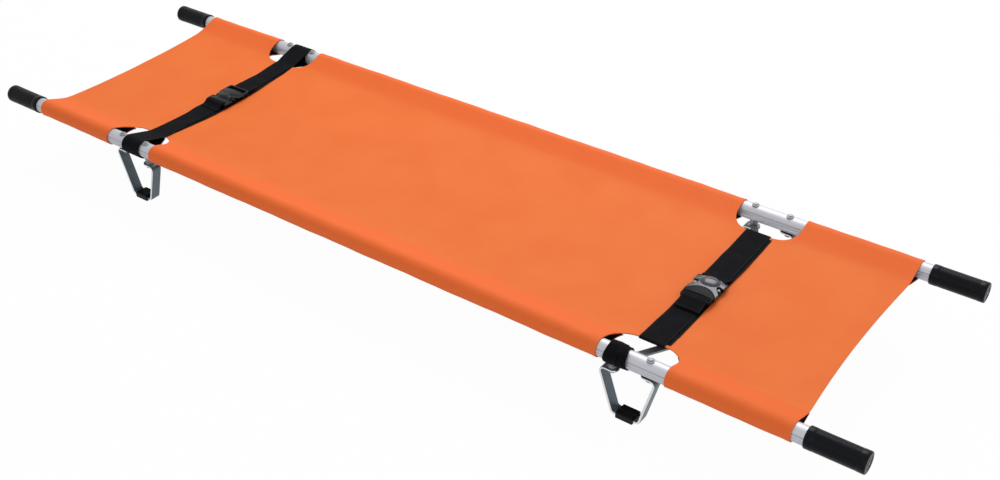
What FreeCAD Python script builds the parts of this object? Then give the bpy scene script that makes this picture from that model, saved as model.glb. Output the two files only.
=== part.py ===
"""Folding rescue stretcher: two poles, a sleeved cover, V-folding spreaders, four feet and two body straps.

Frame: +Z up, X along the poles, Y across them. The origin is on the floor under the middle.
"near" is the pole at -Y and "far" the pole at +Y; "left" is the -X end and "right" the +X end.
All lengths are in millimetres and all angles in degrees.
"""

import FreeCAD, Part
import Sketcher
import math
import os
import re

from FreeCAD import Placement, Rotation, Vector

SIZES = {
    # whole stretcher
    "overall_length": 2070,
    "pole_spacing": 513,
    "pole_height": 127,
    # poles and grips
    "tube_od": 33,
    "tube_wall": 2.5,
    "groove_depth": 1.2,
    "groove_step": 22.5,
    "grip_od": 38.6,
    "grip_length": 101,
    "grip_end_wall": 4,
    "grip_band": 13,
    "grip_relief": 0.6,
    "grip_chamfer": 1.5,
    "grip_play": 0.1,
    # feet, measured from the middle of the foot
    "foot_centre": 615.5,
    "foot_top_reach": 56.5,
    "foot_flat_reach": 26,
    "foot_thickness": 3,
    "foot_width": 25,
    "foot_bend": 5,
    "tab_end_outboard": 29.5,
    "tab_end_inboard": 21,
    "pad_length": 34,
    "pad_width": 30,
    "pad_drop": 12,
    "pad_sole": 3,
    "pad_play": 0.1,
    # bolts and spreaders
    "pivot_offset": 581.5,
    "tail_bolt_offset": 654,
    "bolt_diameter": 8,
    "bolt_head": 14,
    "bolt_dome": 3,
    "bolt_play": 0.1,
    "nut_flats": 13,
    "nut_height": 6.5,
    "spacer_od": 16,
    "running_play": 0.05,
    "open_pivot_play": 0.3,
    "arm_angle": 31.2,
    "arm_width": 14,
    "arm_thickness": 4,
    "arm_drop": 20.5,
    "arm_gap": 1.2,
    "side_play": 0.3,
    "knee_washer": 0.6,
    # cover
    "cover_half": 913.5,
    "fabric": 1.2,
    "sleeve_play": 0.5,
    "seam_offset": 205,
    "hinge_offset": 65,
    "panel_lap": 5,
    "panel_play": 0.5,
    "cutout_inboard": 557,
    "cutout_outboard": 689.5,
    "cutout_offset": 195,
    "cutout_corner": 40,
    # straps
    "strap_width": 50,
    "webbing": 1.5,
    "lay_play": 0.3,
    "strap_right": 622,
    "strap_left": 617,
    "strap_edge": 192,
    "strap_join": 200,
    "strap_split_near": 72,
    "strap_split_centre": 125,
    "strap_split_far": 130,
    "band_inboard": 565,
    "band_width": 42,
    "band_wall": 3,
    # buckles
    "buckle_right_mouth": -22,
    "buckle_left_mouth": 10,
    "buckle_width": 62,
    "buckle_height": 13,
    "housing_length": 48,
    "housing_wall": 3,
    "cavity_depth": 33,
    "window_start": 12,
    "window_length": 15,
    "slot_length": 5,
    "slot_inset": 4,
    "plug_length": 37,
    "plug_setback": 1,
    "tongue_width": 12,
    "prong_length": 27,
    "prong_width": 7,
    "prong_play": 0.6,
    "buckle_play": 0.5,
    "tail_length": 26,
}

ALONG_X = Rotation(Vector(0, 1, 0), 90)
HALF_TURN = Rotation(Vector(0, 0, 1), 180)
SIDES = {"near": -1, "far": 1}
ENDS = {"left": -1, "right": 1}
SIZE_NAMES = re.compile(r"\b(" + "|".join(SIZES) + r")\b")

doc = FreeCAD.newDocument("Stretcher")
sheet = doc.addObject("Spreadsheet::Sheet", "Sizes")
for row, (alias, number) in enumerate(SIZES.items(), start=1):
    sheet.set(f"A{row}", alias)
    sheet.set(f"B{row}", str(number))
    sheet.setAlias(f"B{row}", alias)
doc.recompute()

nodes = []


# ---------------------------------------------------------------- helpers
def size(name):
    """A driving dimension, read from the sheet."""
    return float(sheet.get(name))


def formula(text):
    """A formula in size names, with each name pointing at its cell."""
    return SIZE_NAMES.sub(r"Sizes.\1", str(text))


def place(thing, x=0, y=0, z=0, turn=Rotation()):
    """Puts a thing at three formulas, turned by a fixed rotation."""
    thing.Placement = Placement(Vector(), turn)
    for axis, text in zip("xyz", (x, y, z)):
        thing.setExpression(f"Placement.Base.{axis}", formula(text))
    return thing


def primitive(kind, name, sizes, x=0, y=0, z=0, turn=Rotation()):
    """A Part primitive whose sizes and place are formulas."""
    thing = doc.addObject(f"Part::{kind}", name)
    for prop, text in sizes.items():
        thing.setExpression(prop, formula(text))
    return place(thing, x, y, z, turn)


def cylinder(name, diameter, height, x=0, y=0, z=0, turn=Rotation()):
    """A cylinder that starts at the given place."""
    return primitive("Cylinder", name, {"Radius": f"({diameter}) / 2", "Height": height}, x, y, z, turn)


def slab(name, length, width, height, x=0, y=0, z=0):
    """A box centred on x and y that starts at height z."""
    corner_x = f"({x}) - ({length}) / 2"
    corner_y = f"({y}) - ({width}) / 2"
    return primitive("Box", name, {"Length": length, "Width": width, "Height": height}, corner_x, corner_y, z)


def fuse(name, things):
    """Several things made one."""
    if len(things) == 1:
        return things[0]
    result = doc.addObject("Part::MultiFuse", name)
    result.Shapes = things
    return result


def cut(name, base, tools):
    """A thing less others."""
    result = doc.addObject("Part::Cut", name)
    result.Base = base
    result.Tool = fuse(name + "Tools", tools)
    return result


def group(name, things):
    """Separate solids that share one node."""
    result = doc.addObject("Part::Compound", name)
    result.Links = things
    return result


def node(label, thing):
    """Names a finished sub-part."""
    thing.Label = label
    nodes.append(thing)
    return thing


def made(name, shape):
    """A feature whose shape is worked out from the sheet."""
    thing = doc.addObject("Part::Feature", name)
    thing.Shape = shape
    thing.Placement = Placement()
    return thing


def sketch_profile(body, name, corners):
    """A closed sketch on the body's XZ plane, each corner held to two formulas."""
    plane = next(f for f in body.Origin.OriginFeatures if f.Role == "XZ_Plane")
    sketch = body.newObject("Sketcher::SketchObject", name)
    sketch.AttachmentSupport = (plane, [""])
    sketch.MapMode = "FlatFace"
    count = len(corners)
    spots = [Vector(*[value_of(text) for text in corner], 0) for corner in corners]
    for i in range(count):
        sketch.addGeometry(Part.LineSegment(spots[i], spots[(i + 1) % count]), False)
    for i in range(count):
        sketch.addConstraint(Sketcher.Constraint("Coincident", i, 2, (i + 1) % count, 1))
        for kind, text in zip(("DistanceX", "DistanceY"), corners[i]):
            index = sketch.addConstraint(Sketcher.Constraint(kind, -1, 1, i, 1, value_of(text)))
            sketch.setExpression(f"Constraints[{index}]", formula(text))
    return sketch


def value_of(text):
    """The number that a formula in size names gives."""
    return float(sheet.evalExpression(formula(text)))


def straight(turn, start, end):
    """The edge between two turned points, or none where they meet."""
    if start.isEqual(end, 1e-6):
        return []
    return [Part.LineSegment(turn.multVec(start), turn.multVec(end)).toShape()]


def bent_strip(points, bends, thickness, width, across):
    """A strip that follows (run, height) points, its corners rounded to the bend radii at mid-thickness.

    across is "X" where the path lies in the YZ plane and "Y" where it lies in the XZ plane.
    The width is centred on zero.
    """
    axes = {"X": (Vector(0, 1, 0), Vector(1, 0, 0)), "Y": (Vector(1, 0, 0), Vector(0, -1, 0))}
    turn = Rotation(axes[across][0], Vector(0, 0, 1), axes[across][1], "ZXY")
    half = thickness / 2
    sides = {+1: [], -1: []}
    path = [Vector(run, height, -width / 2) for run, height in points]
    start = path[0]
    for i, bend in enumerate(bends, start=1):
        before = (path[i] - path[i - 1]).normalize()
        after = (path[i + 1] - path[i]).normalize()
        angle = math.atan2(before.x * after.y - before.y * after.x, before.dot(after))
        leg = bend * math.tan(abs(angle) / 2)
        first = path[i] - before * leg
        last = path[i] + after * leg
        left_first = Vector(-before.y, before.x, 0)
        left_last = Vector(-after.y, after.x, 0)
        left_middle = (left_first + left_last).normalize()
        to_centre = math.copysign(bend, angle)
        middle = first + left_first * to_centre - left_middle * to_centre
        for side, edges in sides.items():
            shift = side * half
            edges += straight(turn, start + left_first * shift, first + left_first * shift)
            arc = (first + left_first * shift, middle + left_middle * shift, last + left_last * shift)
            edges.append(Part.Arc(*[turn.multVec(spot) for spot in arc]).toShape())
        start = last
    along = (path[-1] - path[-2]).normalize()
    left = Vector(-along.y, along.x, 0) * half
    begin = (path[1] - path[0]).normalize()
    left_begin = Vector(-begin.y, begin.x, 0) * half
    for side, edges in sides.items():
        edges += straight(turn, start + left * side, path[-1] + left * side)
    caps = straight(turn, path[0] + left_begin, path[0] - left_begin)
    caps += straight(turn, path[-1] + left, path[-1] - left)
    outline = Part.Wire(Part.__sortEdges__(sides[+1] + sides[-1] + caps))
    return Part.Face(outline).extrude(turn.multVec(Vector(0, 0, width)))


# ---------------------------------------------------------------- poles, grips
def pole_line(s):
    """Where the axis of a pole runs across the stretcher."""
    return f"{s} * pole_spacing / 2"


def make_pole(side, s):
    """A grooved tube with a hole for each bolt."""
    run = "overall_length - 2 * grip_end_wall"
    y = pole_line(s)
    start = {"x": f"-({run}) / 2", "y": y, "z": "pole_height", "turn": ALONG_X}
    tube = cylinder("Tube", "tube_od", run, **start)
    tools = [cylinder("Bore", "tube_od - 2 * tube_wall", run, **start)]
    for face in (0, 180):
        for step in (-1, 0, 1):
            angle = face + step * size("groove_step")
            turn = Rotation(Vector(1, 0, 0), angle).multiply(ALONG_X)
            sizes = {"Circumradius": "groove_depth", "Height": run}
            spot = {"x": f"-({run}) / 2", "y": f"{y} + tube_od / 2 * cos({angle})"}
            spot["z"] = f"pole_height + tube_od / 2 * sin({angle})"
            groove = primitive("Prism", "Groove", sizes, turn=turn, **spot)
            groove.Polygon = 4
            tools.append(groove)
    for end in ENDS.values():
        for offset in ("pivot_offset", "tail_bolt_offset"):
            hole = {"x": f"{end} * {offset}", "y": y, "z": "pole_height - tube_od"}
            tools.append(cylinder("BoltHole", "bolt_diameter + 2 * bolt_play", "2 * tube_od", **hole))
    node(f"pole_{side}", cut("Pole", tube, tools))


def make_grip(side, s, end, e):
    """A closed rubber sleeve over the pole's end: two smooth bands with a relieved middle."""
    body = doc.addObject("PartDesign::Body", "Grip")
    bore = "tube_od / 2 + grip_play"
    outside = "grip_od / 2"
    waist = "grip_od / 2 - grip_relief"
    corners = [
        ("0", bore),
        ("0", outside),
        ("grip_band", outside),
        ("grip_band", waist),
        ("grip_length - grip_band", waist),
        ("grip_length - grip_band", outside),
        ("grip_length - grip_chamfer", outside),
        ("grip_length", "grip_od / 2 - grip_chamfer"),
        ("grip_length", "0"),
        ("grip_length - grip_end_wall", "0"),
        ("grip_length - grip_end_wall", bore),
    ]
    sketch = sketch_profile(body, "GripProfile", corners)
    turned = body.newObject("PartDesign::Revolution", "GripTurned")
    turned.Profile = sketch
    turned.ReferenceAxis = (sketch, ["H_Axis"])
    turned.Angle = 360
    spot = {"x": f"{e} * (overall_length / 2 - grip_length)", "y": pole_line(s), "z": "pole_height"}
    place(body, turn=Rotation() if e > 0 else HALF_TURN, **spot)
    node(f"grip_{side}_{end}", body)


# ---------------------------------------------------------------- feet
FOOT_FLOOR = "pad_sole + foot_thickness / 2"
TAIL_TAB = "pole_height - tube_od / 2 - foot_thickness / 2"
PIVOT_STACK = "arm_drop + 2 * arm_thickness + arm_gap + 2 * side_play"


def make_foot(side, s, end, e):
    """A flat steel strip bent to a cup, with one tab against the tube and a lower one under the spreader."""
    floor = value_of(FOOT_FLOOR)
    tail = value_of(TAIL_TAB)
    pivot = value_of(f"pole_height - ({PIVOT_STACK}) - foot_thickness / 2")
    reach = size("foot_top_reach") - size("foot_thickness") / 2
    flat = size("foot_flat_reach")
    path = [
        (size("tab_end_outboard"), tail),
        (reach, tail),
        (flat, floor),
        (-flat, floor),
        (-reach, pivot),
        (-size("tab_end_inboard"), pivot),
    ]
    bends = [size("foot_bend")] * 4
    strip = made("Strip", bent_strip(path, bends, size("foot_thickness"), size("foot_width"), "Y"))
    place(strip, f"{e} * foot_centre", pole_line(s), 0, Rotation() if e > 0 else HALF_TURN)
    holes = []
    for offset in ("pivot_offset", "tail_bolt_offset"):
        spot = {"x": f"{e} * {offset}", "y": pole_line(s), "z": "pole_height - 2 * tube_od"}
        holes.append(cylinder("TabHole", "bolt_diameter + 2 * bolt_play", "2 * tube_od", **spot))
    node(f"foot_{side}_{end}", cut("Foot", strip, holes))


def make_pad(side, s, end, e):
    """A rubber block with the foot's flat drawn through it."""
    x = f"{e} * foot_centre"
    block = slab("PadBlock", "pad_length", "pad_width", "pad_drop", x, pole_line(s), 0)
    width = "foot_width + 2 * pad_play"
    height = "foot_thickness + 2 * pad_play"
    slot = slab("PadSlot", "2 * pad_length", width, height, x, pole_line(s), "pad_sole - pad_play")
    node(f"foot_pad_{side}_{end}", cut("Pad", block, [slot]))


# ---------------------------------------------------------------- bolts
def dome_bolt(x, y, length):
    """A round-headed bolt whose head is saddled to the tube's crown."""
    crown = "pole_height + tube_od / 2"
    sink = "tube_od / 8"
    shank = cylinder("Shank", "bolt_diameter", f"{length} + {sink}", x, y, f"{crown} - ({length})")
    rise = "bolt_dome / 2"
    collar = cylinder("Collar", "bolt_head", f"{sink} + {rise}", x, y, f"{crown} - {sink}")
    ball = "((bolt_head / 2) ^ 2 + (bolt_dome - bolt_dome / 2) ^ 2) / bolt_dome"
    sizes = {"Radius": ball, "Angle1": f"asin(1 - bolt_dome / 2 / ({ball}))"}
    dome = primitive("Sphere", "Dome", sizes, x, y, f"{crown} + {rise} - ({ball}) + bolt_dome / 2")
    saddle_run = {"x": f"{x} - bolt_head", "y": y, "z": "pole_height", "turn": ALONG_X}
    saddle = cylinder("Saddle", "tube_od", "2 * bolt_head", **saddle_run)
    head = cut("Head", fuse("HeadBlank", [collar, dome]), [saddle])
    return fuse("Bolt", [head, shank])


def hex_nut(x, y, top):
    """A plain nut that hangs from the given height."""
    sizes = {"Circumradius": "nut_flats / 2 / cos(30)", "Height": "nut_height"}
    blank = primitive("Prism", "NutBlank", sizes, x, y, f"{top} - nut_height")
    blank.Polygon = 6
    hole = cylinder("NutHole", "bolt_diameter", "2 * nut_height", x, y, f"{top} - 1.5 * nut_height")
    return cut("Nut", blank, [hole])


def spacer(x, y, bottom, top):
    """A round washer stack, saddled to the tube where it meets it."""
    blank = cylinder("SpacerBlank", "spacer_od", f"{top} - ({bottom})", x, y, bottom)
    hole = cylinder("SpacerHole", "bolt_diameter + 2 * bolt_play", "tube_od", x, y, f"{bottom} - tube_od / 4")
    saddle_run = {"x": f"{x} - spacer_od", "y": y, "z": "pole_height", "turn": ALONG_X}
    saddle = cylinder("SpacerSaddle", "tube_od", "2 * spacer_od", **saddle_run)
    return cut("Spacer", blank, [hole, saddle])


def make_fasteners(side, s):
    """The bolts, nuts and spacers of one pole, each kind a node of its own."""
    y = pole_line(s)
    tube_bottom = "pole_height - tube_od / 2"
    pivot_tab = f"pole_height - ({PIVOT_STACK})"
    level = "0" if side == "near" else "arm_thickness + arm_gap"
    arm_top = f"pole_height - arm_drop - ({level})"
    pivots, tails, nuts, spacers = [], [], [], []
    for e in ENDS.values():
        pivot_x = f"{e} * pivot_offset"
        tail_x = f"{e} * tail_bolt_offset"
        pivot_reach = f"tube_od / 2 + {PIVOT_STACK} + foot_thickness + nut_height + bolt_dome / 2"
        tail_reach = "tube_od + foot_thickness + nut_height + bolt_dome / 2"
        pivots.append(dome_bolt(pivot_x, y, pivot_reach))
        tails.append(dome_bolt(tail_x, y, tail_reach))
        nuts.append(hex_nut(pivot_x, y, f"{pivot_tab} - foot_thickness"))
        nuts.append(hex_nut(tail_x, y, f"{tube_bottom} - foot_thickness"))
        spacers.append(spacer(pivot_x, y, f"{arm_top} + side_play", f"{tube_bottom} + tube_od / 8"))
        if side == "near":
            spacers.append(spacer(pivot_x, y, pivot_tab, f"{arm_top} - arm_thickness - side_play"))
    node(f"pivot_bolts_{side}", group("PivotBolts", pivots))
    node(f"tail_bolts_{side}", group("TailBolts", tails))
    node(f"bolt_nuts_{side}", group("BoltNuts", nuts))
    node(f"pivot_spacers_{side}", group("PivotSpacers", spacers))


# ---------------------------------------------------------------- spreaders
ARM_LENGTH = "pole_spacing / 2 / cos(arm_angle)"
KNEE_X = "pivot_offset + pole_spacing / 2 * tan(arm_angle)"


def make_arm(side, s, end, e):
    """A flat bar with round ends, from its pole's pivot bolt to the knee."""
    play = "open_pivot_play" if (side, end) == ("far", "left") else "running_play"
    bar = slab("Bar", ARM_LENGTH, "arm_width", "arm_thickness", f"({ARM_LENGTH}) / 2")
    heel = cylinder("Heel", "arm_width", "arm_thickness")
    toe = cylinder("Toe", "arm_width", "arm_thickness", ARM_LENGTH)
    bore = f"bolt_diameter + 2 * {play}"
    heel_hole = cylinder("HeelHole", bore, "3 * arm_thickness", 0, 0, "-arm_thickness")
    toe_hole = cylinder(
        "ToeHole", "bolt_diameter + 2 * running_play", "3 * arm_thickness", ARM_LENGTH, 0, "-arm_thickness"
    )
    arm = cut("Arm", fuse("ArmBlank", [bar, heel, toe]), [heel_hole, toe_hole])
    level = "arm_thickness" if side == "near" else "2 * arm_thickness + arm_gap"
    spot = {"x": f"{e} * pivot_offset", "y": pole_line(s), "z": f"pole_height - arm_drop - ({level})"}
    place(arm, turn=Rotation(Vector(0, 0, 1), 90), **spot)
    from_x = "90 - arm_angle" if e > 0 else "90 + arm_angle"
    arm.setExpression("Placement.Rotation.Angle", formula(from_x if s < 0 else f"360 - ({from_x})"))
    node(f"arm_{side}_{end}", arm)


def make_knee(end, e):
    """The pin and washer that join the two arms of a spreader."""
    x = f"{e} * ({KNEE_X})"
    top = "pole_height - arm_drop"
    grip = "2 * arm_thickness + arm_gap + side_play"
    head_height = "bolt_dome"
    length = f"{grip} + 2 * bolt_dome"
    shank = cylinder("KneeShank", "bolt_diameter", length, x, 0, f"{top} - ({grip}) - bolt_dome")
    head = cylinder("KneeHead", "bolt_head", head_height, x, 0, top)
    tail = cylinder("KneeTail", "bolt_head", head_height, x, 0, f"{top} - ({grip}) - bolt_dome")
    node(f"knee_pin_{end}", fuse("KneePin", [shank, head, tail]))
    washer = cylinder("KneeWasher", "spacer_od", "knee_washer", x, 0, f"{top} - arm_thickness - knee_washer")
    hole = cylinder("WasherHole", "bolt_diameter + 2 * bolt_play", "tube_od", x, 0, f"{top} - tube_od")
    node(f"knee_washer_{end}", cut("Washer", washer, [hole]))


# ---------------------------------------------------------------- cover
def tangent_corner(across, rise, radius):
    """Height at which a line from (across, rise) over a circle's crown meets the circle's outer upright.

    The circle is centred on zero, across is negative and the upright stands at +radius.
    """
    distance = math.hypot(across, rise)
    touch = math.atan2(rise, across) - math.acos(radius / distance)
    return radius * (math.sin(touch) - math.cos(touch) * (1 - math.cos(touch)) / math.sin(touch))


def loop_shape(s, inner, thickness, gap, rise, seam, width):
    """A strip that leaves the bed at the given offset, goes round a pole and comes back to its seam.

    rise is the height of the strip's middle above the pole's axis where it lies flat, and seam is
    the offset from the stretcher's middle where the two plies meet.
    """
    axis = size("pole_spacing") / 2
    floor = size("pole_height")
    radius = size("tube_od") / 2 + gap + thickness / 2
    under = rise - 0.8 * thickness
    upper = tangent_corner(seam - axis, rise, radius)
    lower = -tangent_corner(seam - axis, -under, radius)
    outer = axis + radius
    over_path = [(inner, rise), (seam, rise), (outer, upper), (outer, 0)]
    under_path = [(outer, 0), (outer, lower), (seam, under)]
    plies = []
    for path, bends in ((over_path, [2 * thickness, radius]), (under_path, [radius])):
        points = [(s * across, floor + up) for across, up in path]
        plies.append(bent_strip(points, bends, thickness, width, "X"))
    return plies[0].fuse(plies[1]).removeSplitter()


def rounded_slab(low, high, corner):
    """A box between two corners, with its four upright edges rounded."""
    block = Part.makeBox(*(high - low), low)
    upright = [e for e in block.Edges if abs(e.tangentAt(e.FirstParameter).z) > 0.5]
    return block.makeFillet(corner, upright)


def make_side_panel(side, s):
    """Outer third of the cover: flat from the hinge line, then sewn round the pole, with two cutouts."""
    rise = -size("fabric") / 2
    sleeve = loop_shape(
        s,
        size("hinge_offset"),
        size("fabric"),
        size("sleeve_play"),
        rise,
        size("seam_offset"),
        2 * size("cover_half"),
    )
    beyond = size("pole_spacing") / 2 + size("tube_od") + size("cutout_corner")
    for e in ENDS.values():
        runs = sorted(e * size(name) for name in ("cutout_inboard", "cutout_outboard"))
        offsets = sorted(s * offset for offset in (size("cutout_offset"), beyond))
        low = Vector(runs[0], offsets[0], 0)
        high = Vector(runs[1], offsets[1], 2 * size("pole_height"))
        sleeve = sleeve.cut(rounded_slab(low, high, size("cutout_corner")))
    node(f"cover_{side}", made("SidePanel", sleeve))


def make_centre_panel():
    """Middle third of the cover, lapped over both side panels."""
    width = "2 * (hinge_offset + panel_lap)"
    bottom = "pole_height + panel_play"
    node("cover_centre", slab("CentrePanel", "2 * cover_half", width, "fabric", 0, 0, bottom))


# ---------------------------------------------------------------- straps
SIDE_STRAP_FLOOR = "pole_height + lay_play"
CENTRE_STRAP_FLOOR = "pole_height + panel_play + fabric + lay_play"


def make_straps():
    """Both body straps, each split where the cover folds. Two plies of webbing lie on each other."""
    plies = "2 * webbing"
    for end, e in ENDS.items():
        x = f"{e} * strap_{end}"
        run = "strap_split_near + strap_split_centre"
        middle = "(strap_split_centre - strap_split_near) / 2"
        centre = slab("StrapCentre", "strap_width", run, plies, x, middle, CENTRE_STRAP_FLOOR)
        node(f"strap_{end}_centre", centre)
    for side, s in SIDES.items():
        split = f"strap_split_{side}"
        middle = f"{s} * (strap_edge + {split}) / 2"
        width, length = "strap_width", f"strap_edge - {split}"
        flat = slab("StrapSide", width, length, plies, "strap_right", middle, SIDE_STRAP_FLOOR)
        node(f"strap_right_{side}", flat)
        webbing = size("webbing")
        rise = size("lay_play") + webbing
        join = size("strap_join")
        loop = loop_shape(s, size(split), 2 * webbing, size("sleeve_play"), rise, join, size("strap_width"))
        looped = made("StrapLoop", loop)
        place(looped, "-strap_left")
        node(f"strap_left_{side}", looped)


def make_retaining_band():
    """Two turns of webbing round the near right pole, relieved over the pivot bolt and its spacer."""
    y = pole_line(SIDES["near"])
    run = {"x": "band_inboard", "y": y, "z": "pole_height", "turn": ALONG_X}
    ring = cylinder("BandRing", "tube_od + 2 * lay_play + 2 * band_wall", "band_width", **run)
    bore = cylinder("BandBore", "tube_od + 2 * lay_play", "band_width", **run)
    relief = cylinder(
        "BandRelief", "spacer_od + 2 * lay_play", "2 * tube_od", "pivot_offset", y, "pole_height - tube_od"
    )
    node("retaining_band", cut("Band", ring, [bore, relief]))


# ---------------------------------------------------------------- buckles
def make_buckle(end, e):
    """A side-release buckle: housing with side windows, plug with a guide tongue, and two sprung prongs.

    It is built with its mouth at zero, the housing towards +Y and the plug towards -Y; the left one is
    turned end for end.
    """
    floor = f"{CENTRE_STRAP_FLOOR} + 2 * webbing + lay_play"
    turn = Rotation() if e > 0 else HALF_TURN
    spot = {"x": f"{e} * strap_{end}", "y": f"buckle_{end}_mouth", "z": floor, "turn": turn}
    web_slot = "strap_width + 2 * buckle_play"
    cavity_width = "buckle_width - 2 * housing_wall"
    cavity_height = "buckle_height - 2 * housing_wall"

    block_y = "housing_length / 2"
    housing = slab("HousingBlock", "buckle_width", "housing_length", "buckle_height", 0, block_y, 0)
    cavity_y = "cavity_depth / 2"
    cavity = slab("Cavity", cavity_width, "cavity_depth", cavity_height, 0, cavity_y, "housing_wall")
    window_y = "window_start + window_length / 2"
    windows = slab("Windows", "2 * buckle_width", "window_length", cavity_height, 0, window_y, "housing_wall")
    slot_y = "housing_length - slot_inset - slot_length / 2"
    slot = slab("HousingSlot", web_slot, "slot_length", "2 * buckle_height", 0, slot_y, "-buckle_height / 2")
    node(f"buckle_housing_{end}", place(cut("Housing", housing, [cavity, windows, slot]), **spot))

    base_length = "plug_length - plug_setback"
    base_y = "-(plug_length + plug_setback) / 2"
    base = slab("PlugBase", "buckle_width", base_length, "buckle_height", 0, base_y, 0)
    tongue_length = "plug_setback + cavity_depth - 2 * plug_setback"
    tongue_height = f"{cavity_height} - 2 * buckle_play"
    tongue_y = f"({tongue_length}) / 2 - plug_setback"
    tongue_z = "housing_wall + buckle_play"
    tongue = slab("Tongue", "tongue_width", tongue_length, tongue_height, 0, tongue_y, tongue_z)
    bar_y = "-(plug_length - slot_inset - slot_length / 2)"
    bar_slot = slab("PlugSlot", web_slot, "slot_length", "2 * buckle_height", 0, bar_y, "-buckle_height / 2")
    plug = cut("Plug", fuse("PlugBlank", [base, tongue]), [bar_slot])
    node(f"buckle_plug_{end}", place(plug, **spot))

    for name, hand in (("inboard", -1), ("outboard", 1)):
        prong_x = f"{hand} * (buckle_width / 2 - housing_wall - buckle_play - prong_width / 2)"
        prong_y = "prong_length / 2 + prong_play - plug_setback"
        prong = slab("Prong", "prong_width", "prong_length", tongue_height, prong_x, prong_y, tongue_z)
        whole = fuse("ProngOnly", [prong, prong_tip(hand, tongue_z)])
        node(f"buckle_prong_{end}_{name}", place(whole, **spot))


def prong_tip(hand, floor):
    """The rounded end of a prong, where a thumb reaches it through the window."""
    x = f"{hand} * (buckle_width / 2 - housing_wall - buckle_play - prong_width / 2)"
    height = "buckle_height - 2 * housing_wall - 2 * buckle_play"
    return cylinder("ProngTip", "prong_width", height, x, "prong_length + prong_play - plug_setback", floor)


def make_plug_tail(end, e):
    """The fold of webbing that leaves the plug's bar and lies on the strap."""
    toward = -e
    floor = f"{CENTRE_STRAP_FLOOR} + 2 * webbing + lay_play"
    middle = f"buckle_{end}_mouth + {toward} * (plug_length + lay_play + tail_length / 2)"
    tail = slab("PlugTail", "strap_width", "tail_length", "2 * webbing", f"{e} * strap_{end}", middle, floor)
    node(f"plug_tail_{end}", tail)


# ---------------------------------------------------------------- build, check, write
for side, s in SIDES.items():
    make_pole(side, s)
    make_fasteners(side, s)
    make_side_panel(side, s)
    for end, e in ENDS.items():
        make_grip(side, s, end, e)
        make_foot(side, s, end, e)
        make_pad(side, s, end, e)
        make_arm(side, s, end, e)
for end, e in ENDS.items():
    make_knee(end, e)
    make_buckle(end, e)
    make_plug_tail(end, e)
make_centre_panel()
make_straps()
make_retaining_band()

doc.recompute()
for thing in doc.Objects:
    if {"Invalid", "Error"} & set(thing.State):
        raise RuntimeError(f"{thing.Label} failed: {thing.State}")
for thing in nodes:
    if thing.Shape.isNull() or not thing.Shape.isValid() or thing.Shape.Volume <= 0:
        raise RuntimeError(f"{thing.Label} has no valid shape")

os.makedirs("parts", exist_ok=True)
for thing in nodes:
    thing.Shape.exportStep(f"parts/{thing.Label}.step")
print(len(nodes), "nodes written")
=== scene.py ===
"""Looks of a folding rescue stretcher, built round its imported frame.

Shapes are worked out in millimetres and made in metres.
"""

import math

import bmesh
import bpy
import numpy as np
from mathutils import Matrix, Vector


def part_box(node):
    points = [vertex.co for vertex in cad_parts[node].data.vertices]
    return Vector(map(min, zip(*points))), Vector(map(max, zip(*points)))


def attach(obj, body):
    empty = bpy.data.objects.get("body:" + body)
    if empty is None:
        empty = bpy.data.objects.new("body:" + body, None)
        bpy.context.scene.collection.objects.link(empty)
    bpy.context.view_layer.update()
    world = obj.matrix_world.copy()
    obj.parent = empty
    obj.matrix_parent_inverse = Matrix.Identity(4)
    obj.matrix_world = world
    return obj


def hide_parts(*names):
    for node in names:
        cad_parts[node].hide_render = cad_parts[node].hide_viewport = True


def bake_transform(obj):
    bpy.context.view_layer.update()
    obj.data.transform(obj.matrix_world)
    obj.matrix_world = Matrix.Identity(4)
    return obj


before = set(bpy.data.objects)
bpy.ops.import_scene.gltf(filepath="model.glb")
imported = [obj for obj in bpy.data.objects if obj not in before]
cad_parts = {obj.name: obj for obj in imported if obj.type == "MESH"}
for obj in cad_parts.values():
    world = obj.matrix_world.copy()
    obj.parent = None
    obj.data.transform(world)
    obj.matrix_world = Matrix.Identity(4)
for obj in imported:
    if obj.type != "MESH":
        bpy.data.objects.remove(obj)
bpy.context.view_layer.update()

MM = 0.001
SIDES = {"near": -1, "far": 1}
ENDS = {"left": -1, "right": 1}


def middle(node):
    """Centre of a node's box."""
    low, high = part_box(node)
    return (low + high) / 2


def extent(node):
    """Size of a node's box."""
    low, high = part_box(node)
    return high - low


# ---------------------------------------------------------------- camera
CAMERA_SPOT = Vector((1.4427, -1.6981, 1.5269))
CAMERA_AZIMUTH = math.radians(127.156)
CAMERA_ELEVATION = math.radians(-34.903)
CAMERA_ROLL = math.radians(-1.488)
CAMERA_LENS = 46.65


def make_camera():
    """A level-built camera, aimed by azimuth and elevation and then rolled about its own axis."""
    flat = math.cos(CAMERA_ELEVATION)
    aim = Vector((flat * math.cos(CAMERA_AZIMUTH), flat * math.sin(CAMERA_AZIMUTH), math.sin(CAMERA_ELEVATION)))
    right = aim.cross(Vector((0, 0, 1))).normalized()
    up = right.cross(aim)
    rolled_right = math.cos(CAMERA_ROLL) * right + math.sin(CAMERA_ROLL) * up
    rolled_up = math.cos(CAMERA_ROLL) * up - math.sin(CAMERA_ROLL) * right
    data = bpy.data.cameras.new("camera")
    data.lens = CAMERA_LENS
    data.sensor_width = 36
    camera = bpy.data.objects.new("camera", data)
    bpy.context.scene.collection.objects.link(camera)
    turn = Matrix((rolled_right, rolled_up, -aim)).transposed().to_4x4()
    camera.matrix_world = Matrix.Translation(CAMERA_SPOT) @ turn
    bpy.context.scene.camera = camera


make_camera()


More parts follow.
